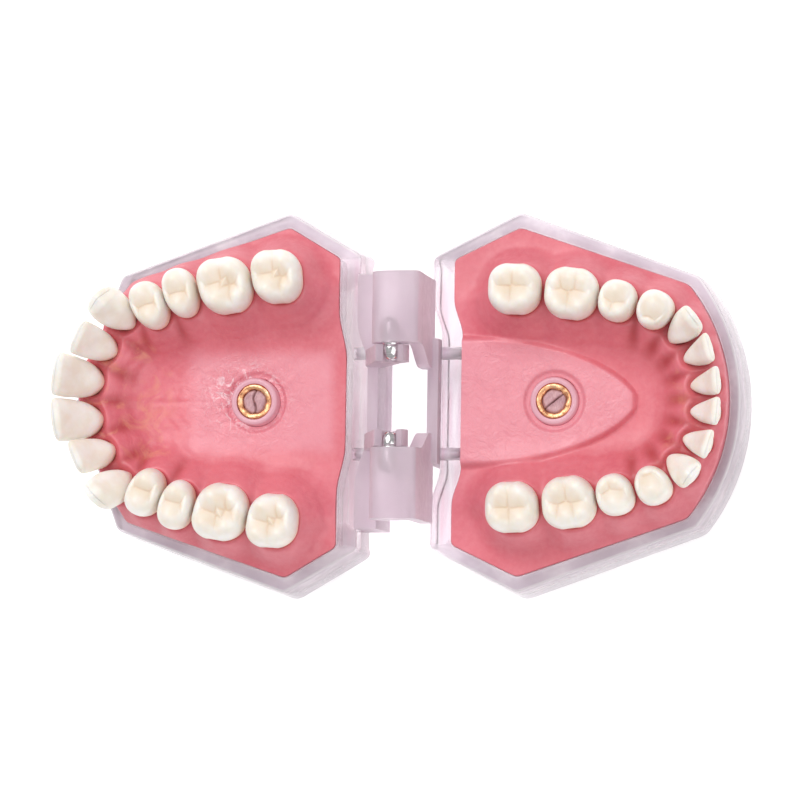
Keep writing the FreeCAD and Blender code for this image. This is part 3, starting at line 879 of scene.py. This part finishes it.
def crown_relief(kind, out, along, half_depth, half_width, top):
    """Height of the chewing surface, and how deep in a groove each point lies."""
    cones = []
    for cusp_out, cusp_along, drop in CUSPS[kind]:
        away = np.hypot(out - cusp_out * half_depth, along - cusp_along * half_width)
        cones.append(top - drop - CUSP_SLOPE * (np.sqrt(away ** 2 + CUSP_BLUNT ** 2) - CUSP_BLUNT))
    for end in (0.74, -0.74):
        beyond = np.maximum(np.abs(out) - 0.38 * half_depth, 0)
        away = np.hypot(beyond, along - end * half_width)
        cones.append(top - RIDGE_DROP - 0.7 * (np.sqrt(away ** 2 + 0.25) - 0.5))
    if kind == "upper_molar":
        share = np.clip((out / half_depth + 0.4) / 0.8, 0, 1)
        line = (0.24 - 0.62 * share) * half_width
        beyond = np.maximum(np.abs(out) - 0.4 * half_depth, 0)
        cones.append(top - 1.0 - 0.6 * np.abs(along - line) - 0.9 * beyond)
    cones = np.array(cones)
    high = cones.max(0)
    height = high + CUSP_BLEND * np.log(np.sum(np.exp((cones - high) / CUSP_BLEND), axis=0))
    ranked = np.sort(cones, axis=0)
    groove = np.exp(-((ranked[-1] - ranked[-2]) / 0.20) ** 2)
    return height - CUSP_BLEND * 0.3 - GROOVE_DEPTH * groove, groove


def back_tooth(tooth):
    """Rings of a premolar or molar as out, along, z and its colour fields."""
    _, kind, width, depth, _, _, rise = tooth
    top = HINGE_Z + rise
    half_depth, half_width = depth / 2, width / 2
    power = 2.0 / SQUARENESS[kind]
    angle = circle(96)[None]
    out_share = signed_power(np.sin(angle), power)
    along_share = signed_power(np.cos(angle), power) * (1 + TONGUE_TAPER[kind] * np.sin(angle))
    if kind == "upper_molar":
        along_share = along_share + 0.08 * out_share
    pinch = 1.0
    if "molar" in kind and "pre" not in kind:
        pinch = 1 - 0.035 * bump(np.abs(np.sin(angle)), 1.0, 0.02)
        pinch = pinch - 0.012 * bump(np.abs(np.cos(angle)), 1.0, 0.02)
    contour = NECK_Z + 0.50 * (top - NECK_Z)
    side_z = np.append(NECK_Z + np.array([-1.6, -0.6, 0, 0.9, 1.9, 2.9, 3.8]), contour)
    side_scale = np.array([0.76, 0.80, 0.84, 0.90, 0.945, 0.975, 0.993, 1.0])
    fall = np.linspace(0, np.pi / 2, 46)[1:]
    top_scale = np.append(np.cos(fall * 0.985) ** 0.75, 0.0)
    top_scale = top_scale[top_scale > 0.02]
    scale = np.append(side_scale, top_scale)[:, None]
    out = scale * out_share * half_depth * pinch
    along = scale * along_share * half_width * pinch
    relief, groove = crown_relief(kind, out, along, half_depth, half_width, top)
    lift = np.sqrt(np.maximum(1 - scale ** 9, 0))
    z = contour + (relief - contour) * lift
    count = len(side_z)
    z[:count] = side_z[:, None]
    on_top = (np.arange(len(scale)) >= count)[:, None]
    inside = smooth_step((0.80 - scale) / 0.35) * on_top
    # painted shade on the chewing surface, darker the deeper a point lies below the cusp tips
    pit = np.clip((top - relief) / 2.3, 0, 1) * inside
    stain = np.clip(0.55 * groove * pit + 0.35 * pit ** 2, 0, 1)
    # beige middle of the chewing surface, partly its own tone and partly painted shade growing with depth
    core = 0.75 * inside * np.ones_like(out) * (0.3 + 0.7 * pit)
    # warm tint on the sides: partly the warm line at the gum, partly painted light over the shaded sides
    neck_warmth_and_side_light = 0.60 * smooth_step((contour + 0.5 - z) / 2.6)
    return out, along, z, dict(core=core, stain=stain, neck=neck_warmth_and_side_light)


def make_tooth(jaw, side, tooth, material):
    kind = tooth[1]
    out, along, z, fields = (front_tooth if kind in FRONT_ROWS else back_tooth)(tooth)
    rows, columns = out.shape
    points, faces = capped(set_in_jaw(jaw, tooth, side, out, along, z), rows, columns)
    flat = {}
    for key, values in fields.items():
        values = np.broadcast_to(values, out.shape)
        flat[key] = np.concatenate([values.ravel(), [values[0].mean(), values[-1].mean()]])
    node = jaw + ("_left_" if side > 0 else "_right_") + tooth[0]
    crown = make_object(node + "_crown", points, faces, material, **flat)
    return finish_piece(crown, jaw, "tooth_resin", node)


# ---- hinge ----

def arc(centre, radius, start, end, count):
    angle = np.radians(np.linspace(start, end, count))
    return [(centre[0] + radius * math.cos(a), centre[1] + radius * math.sin(a)) for a in angle]


def prism(name, jaw, axes, profile, span, material):
    """A closed prism: its profile lies in two of the axes u, y, z and runs along the third."""
    profile = np.array(profile)
    columns = len(profile)
    values = {axis: np.tile(profile[:, k], (2, 1)) for k, axis in enumerate(axes)}
    third = {"uy": "z", "uz": "y", "yz": "u"}[axes]
    values[third] = np.repeat(np.array(span, float)[:, None], columns, 1)
    faces = ring_faces(2, columns) + [list(range(columns)), list(range(columns, 2 * columns))]
    return make_object(name, place(jaw, **values), faces, material, smooth=False)


def plate_piece(jaw, material):
    half = PLATE_HALF[jaw]
    y = np.linspace(-half, half, 61)
    inside = [(back_u(RIM[jaw], value) - 0.02, value) for value in y]
    profile = inside + [(PLATE_FACE_U, half), (PLATE_FACE_U, -half)]
    return prism(jaw + "_frosted_leaf", jaw, "uy", profile, PLATE_Z, material)


def make_lower_leaf(material):
    jaw = "lower"
    leaf = plate_piece(jaw, material)
    top = HINGE_Z + BARREL_R
    under = top - ARM_THICK
    bottom = RIM_Z + RIM_GAP
    outer_u = SHOULDER[1]
    meet = math.degrees(math.asin((under - HINGE_Z) / BARREL_R))
    profile = arc((0, HINGE_Z), BARREL_R, 90, 360 + meet, 40)
    profile += [(SHOULDER[0] + 0.5, under), (SHOULDER[0] + 0.9, under - 1.6), (outer_u, under - 1.6)]
    profile += arc((outer_u - 1.0, top - 1.0), 1.0, 0, 90, 7)
    near, far = ARM_Y[0] + 0.03, ARM_Y[1] - 0.03
    high = under - 0.8
    half_panel = [(far, bottom), (far, top - 1.6), (near, top - 1.6)]
    half_panel += [(near - (near - WINDOW_Y) * smooth_step(t), high - (high - WINDOW_LOW) * t)
                   for t in np.linspace(0, 1, 9)]
    foot = PLATE_HALF[jaw] - 0.05
    half_panel += [(WINDOW_Y, bottom - 0.5), (foot, bottom - 0.5), (foot, bottom)]
    parts = []
    for side in (1, -1):
        span = sorted((side * ARM_Y[0], side * ARM_Y[1]))
        parts.append(prism("arm", jaw, "uz", profile, span, material))
        panel = [(side * y, z) for y, z in half_panel]
        parts.append(prism("panel", jaw, "yz", panel, (SHOULDER[0], outer_u - 0.02), material))
    combine(leaf, parts, "UNION")
    combine(leaf, screw_holes(jaw), "DIFFERENCE")
    bevelled(leaf, 0.22)
    return finish_piece(leaf, jaw, "frosted_plastic", "lower_hinge_leaf")


def make_upper_leaf(material):
    jaw = "upper"
    leaf = plate_piece(jaw, material)
    half_mouth = HOOK_MOUTH / 2
    rim_u = RIM[jaw]["middle"] - 0.02
    profile = arc((0, HINGE_Z), HOOK_R, 90 - half_mouth, 0, 9)
    profile += [(rim_u, PLATE_Z[1] + 2), (rim_u, PLATE_Z[1] - 2), (PLATE_FACE_U, PLATE_Z[1] - 2)]
    profile += arc((0, HINGE_Z), HOOK_R, 248, 90 + half_mouth, 22)
    profile += arc((0, HINGE_Z), HOOK_BORE_R, 90 + half_mouth, 450 - half_mouth, 36)
    hooks = []
    for side in (1, -1):
        span = sorted((side * HOOK_Y[0], side * HOOK_Y[1]))
        hooks.append(prism("hook", jaw, "uz", profile, span, material))
    combine(leaf, hooks, "UNION")
    combine(leaf, screw_holes(jaw), "DIFFERENCE")
    bevelled(leaf, 0.25)
    return finish_piece(leaf, jaw, "frosted_plastic", "upper_hinge_leaf")


def lathe(jaw, profile, to_place, columns, ripple=None):
    """Rings of (distance, radius) turned about a line. to_place gives u, y, z."""
    profile = np.array(profile)
    angle = circle(columns)[None]
    distance = np.repeat(profile[:, :1], columns, 1)
    radius = np.repeat(profile[:, 1:], columns, 1)
    if ripple is not None:
        radius = radius + ripple(distance, angle, radius)
    u, y, z = to_place(distance, radius * np.cos(angle), radius * np.sin(angle))
    return place(jaw, u, y, z)


def join_meshes(name, parts, material):
    faces, count = [], 0
    for points, part_faces in parts:
        faces += [[index + count for index in face] for face in part_faces]
        count += len(points)
    return make_object(name, np.vstack([points for points, _ in parts]), faces, material)


def make_pins(material):
    """Two steel pins with bullet-shaped ends and a fine groove behind the inner end."""
    bullet = [(PIN_NOSE - PIN_NOSE * math.cos(a), PIN_R * math.sin(a) ** 0.8)
              for a in np.linspace(0.12, np.pi / 2, 12)]
    groove = [(2.6, PIN_R), (2.75, PIN_R - 0.08), (2.9, PIN_R - 0.08), (3.05, PIN_R)]
    end = [(PIN_LENGTH - d, r) for d, r in reversed(bullet)]
    profile = bullet + groove + end
    parts = []
    for side in (1, -1):
        def to_place(distance, a, b, side=side):
            return a, side * (PIN_INNER_Y + distance), HINGE_Z + b
        points = lathe("lower", profile, to_place, 48)
        parts.append(capped(points, len(profile), 48))
    pins = join_meshes("steel_hinge_pins", parts, material)
    return finish_piece(pins, "lower", "pin_steel", "hinge_pins")


def make_screws(jaw, material):
    """Two pan head screws with a cut slot and a real helical thread."""
    head = [(0.0, 0.9), (0.05, 1.35), (0.18, 1.75), (0.4, 2.0), (0.7, SCREW_HEAD_R),
            (SCREW_HEAD - 0.1, SCREW_HEAD_R), (SCREW_HEAD, SCREW_HEAD_R - 0.1), (SCREW_HEAD, SCREW_R)]
    start, end = SCREW_HEAD + 0.2, SCREW_HEAD + SCREW_LENGTH
    shank = [(d, SCREW_R) for d in np.linspace(start, end - 0.8, 60)]
    tip = [(end - 0.5, 0.85), (end - 0.2, 0.5), (end, 0.12)]
    profile = head + shank + tip

    def thread(distance, angle, radius):
        phase = (distance / THREAD_PITCH - angle / (2 * np.pi)) % 1.0
        tooth = np.abs(phase * 2 - 1)
        on = (distance > start) & (distance < end - 0.6)
        return -0.26 * tooth * on

    screws, slots = [], []
    for y in (-SCREW_Y, SCREW_Y):
        def to_place(distance, a, b, y=y):
            return PLATE_FACE_U - SCREW_HEAD + distance, y + a, SCREW_Z + b
        points = lathe(jaw, profile, to_place, 36, thread)
        screws.append(capped(points, len(profile), 36))
        low_u, high_u = PLATE_FACE_U - SCREW_HEAD - 1, PLATE_FACE_U - SCREW_HEAD + SLOT_DEPTH
        cut = [(low_u, SCREW_Z - 3), (high_u, SCREW_Z - 3), (high_u, SCREW_Z + 3), (low_u, SCREW_Z + 3)]
        slots.append(prism("slot", jaw, "uz", cut, (y - SLOT_WIDTH / 2, y + SLOT_WIDTH / 2), material))
    made = join_meshes(jaw + "_steel_screws", screws, material)
    combine(made, slots, "DIFFERENCE")
    shade(made, 35)
    return finish_piece(made, jaw, "screw_steel", jaw + "_leaf_screws")


# ---- inserts and plugs ----

def make_insert(jaw, material):
    """Brass sleeve with a threaded bore and a torn upper edge."""
    top = BOSS_TOP - 0.1
    wall = [(z, INSERT_R - 0.02) for z in np.linspace(0.15, top - 0.5, 8)]
    crown = [(top - 0.15, INSERT_R - 0.12), (top, INSERT_R - 0.35), (top - 0.05, (INSERT_R + PLUG_R) / 2),
             (top - 0.1, PLUG_R + 0.2), (top - 0.3, PLUG_R + 0.05)]
    seat = [(PLUG_BOTTOM - 0.1, PLUG_R + 0.03), (BORE_DEPTH + 0.05, PLUG_R), (BORE_DEPTH, BORE_R + 0.05)]
    bore = [(z, BORE_R) for z in np.linspace(BORE_DEPTH - 0.2, 0.5, 110)]
    mouth = [(0.15, BORE_R + 0.2), (0.0, BORE_R + 0.4), (0.0, INSERT_R - 0.2)]
    profile = wall + crown + seat + bore + mouth
    crown_start, crown_end = len(wall), len(wall) + len(crown)
    phases = rng.uniform(0, 2 * np.pi, 6)
    row = np.arange(len(profile))[:, None]

    def ragged(distance, angle, radius):
        on_crown = (row >= crown_start) & (row < crown_end)
        wobble = sum(np.sin(k * angle + phases[k - 3]) / k for k in (3, 4, 5, 7, 8))
        inner = radius < (INSERT_R + PLUG_R) / 2 + 0.1
        in_bore = (row >= crown_end + 4) & (row < len(profile) - 4)
        phase = (distance / THREAD_PITCH - angle / (2 * np.pi)) % 1.0
        thread = -0.16 * np.abs(phase * 2 - 1)
        return np.where(in_bore, thread + 0.12, 0) - np.where(on_crown & inner, 0.34 * np.abs(wobble), 0)

    def to_place(distance, a, b):
        on_crown = (row > crown_start) & (row < crown_end)
        angle = np.arctan2(b, a)
        rough = sum(np.sin(k * angle + phases[k % 6]) / k ** 0.5 for k in (2, 3, 5, 9, 13))
        lift = np.where(on_crown, -0.10 + 0.07 * rough, 0.0)
        return BOSS_U + a, b, np.minimum(distance + lift, top)

    points = lathe(jaw, profile, to_place, 96, ragged)
    sleeve = make_object(jaw + "_brass_insert", points, ring_faces(len(profile), 96, closed=True), material)
    return finish_piece(sleeve, jaw, "brass", jaw + "_insert")


def make_plug(jaw, material):
    """Cracked disc of filling resin inside the sleeve."""
    columns = 72
    angle = circle(columns)[None]
    radius = np.append([PLUG_R - 0.25, PLUG_R - 0.05], np.linspace(PLUG_R - 0.05, 0.06, 28))[:, None]
    a, b = radius * np.cos(angle), radius * np.sin(angle)
    across, lean = (a, 0.25) if jaw == "upper" else (b - 0.8 * a, 0.0)
    line = across - lean * np.sin(1.7 * (b if jaw == "upper" else a) + 0.6)
    rough = 0.10 * np.sin(3.1 * a + 1.0) * np.sin(2.3 * b) + 0.06 * np.sin(6.5 * a + 2.4 * b)
    crack = bump(line, 0, 0.16)
    ridge = bump(line, 0.35, 0.2)
    z = PLUG_TOP - 0.30 + rough - 0.45 * crack + 0.16 * ridge
    z = z - 0.3 * smooth_step((radius - PLUG_R + 0.5) / 0.45)
    z[0], z[1] = PLUG_BOTTOM, PLUG_BOTTOM + 0.2
    edge = np.clip(0.9 * crack + 0.7 * smooth_step((radius - PLUG_R + 0.35) / 0.3), 0, 1)
    points = place(jaw, BOSS_U + a, b, np.minimum(z, PLUG_TOP))
    points, faces = capped(points, len(radius), columns)
    plug = make_object(jaw + "_resin_plug", points, faces, material, edge=edge.ravel())
    return finish_piece(plug, jaw, "plug_resin", jaw + "_insert_plug")


# ---- stage ----

def make_floor():
    s = Surface("studio_floor", Roughness=0.85, Emission_Strength=0.42)
    grain = s.noise(6, 3)
    s.colour(s.ramp(grain, [(0.3, (0.90, 0.90, 0.90)), (0.7, (0.93, 0.93, 0.93))]))
    signs = ((-1, -1), (1, -1), (1, 1), (-1, 1))
    corners = np.array([(a * FLOOR_HALF, b * FLOOR_HALF, -FLOOR_DROP) for a, b in signs])
    floor = make_object("studio_floor", corners * MM, [[0, 1, 2, 3]], s.material, smooth=False)


def area_light(name, place_mm, size_mm, power):
    lamp = bpy.data.lights.new(name, "AREA")
    lamp.size = size_mm * MM
    lamp.energy = power
    made = bpy.data.objects.new(name, lamp)
    made.location = Vector(place_mm) * MM
    aim = Vector(CAMERA_AIM) * MM - made.location
    made.rotation_mode = "QUATERNION"
    made.rotation_quaternion = aim.to_track_quat("-Z", "Y")
    bpy.context.scene.collection.objects.link(made)


def make_lights():
    world = bpy.data.worlds.new("studio")
    world.use_nodes = True
    sky = world.node_tree.nodes["Background"].inputs
    sky["Color"].default_value = (1.0, 1.0, 1.0, 1.0)
    sky["Strength"].default_value = WORLD_STRENGTH
    bpy.context.scene.world = world
    area_light("key", *KEY_LIGHT)
    area_light("fill", *FILL_LIGHT)


def make_camera():
    aim = Vector(CAMERA_AIM)
    slope = Vector((math.tan(math.radians(CAMERA_TILT_X)), math.tan(math.radians(CAMERA_TILT_Y)), 1.0))
    back = slope.normalized()
    right = Vector((0, 1, 0)).cross(back).normalized()
    up = back.cross(right)
    roll = math.radians(CAMERA_ROLL)
    right, up = right * math.cos(roll) + up * math.sin(roll), up * math.cos(roll) - right * math.sin(roll)
    camera = bpy.data.objects.new("camera", bpy.data.cameras.new("camera"))
    camera.data.lens = CAMERA_LENS
    camera.data.clip_end = 20
    turn = Matrix((right, up, back)).transposed().to_4x4()
    camera.matrix_world = Matrix.Translation((aim + back * CAMERA_DISTANCE) * MM) @ turn
    bpy.context.scene.collection.objects.link(camera)
    bpy.context.scene.camera = camera


# ---- assembly ----

make_camera()
bpy.context.scene.view_settings.view_transform = "Standard"
acrylic, gum, tooth = acrylic_material(), gum_material(), tooth_material()
frosted, brass, plug = frosted_material(), brass_material(), plug_material()
pin_steel = steel_material("pin_steel", (0.55, 0.52, 0.53), (0.85, 0.83, 0.84), 0.08, 0.2, (1, 8, 1))
screw_steel = steel_material("screw_steel", (0.38, 0.36, 0.37), (0.66, 0.64, 0.65), 0.2, 0.4, (8, 1, 1))

for jaw in ("upper", "lower"):
    make_tray(jaw, acrylic)
    make_gum(jaw, gum)
    make_insert(jaw, brass)
    make_plug(jaw, plug)
    make_screws(jaw, screw_steel)
    for row in TEETH[jaw]:
        for side in (1, -1):
            make_tooth(jaw, side, row, tooth)
make_upper_leaf(frosted)
make_lower_leaf(frosted)
make_pins(pin_steel)
make_floor()
make_lights()
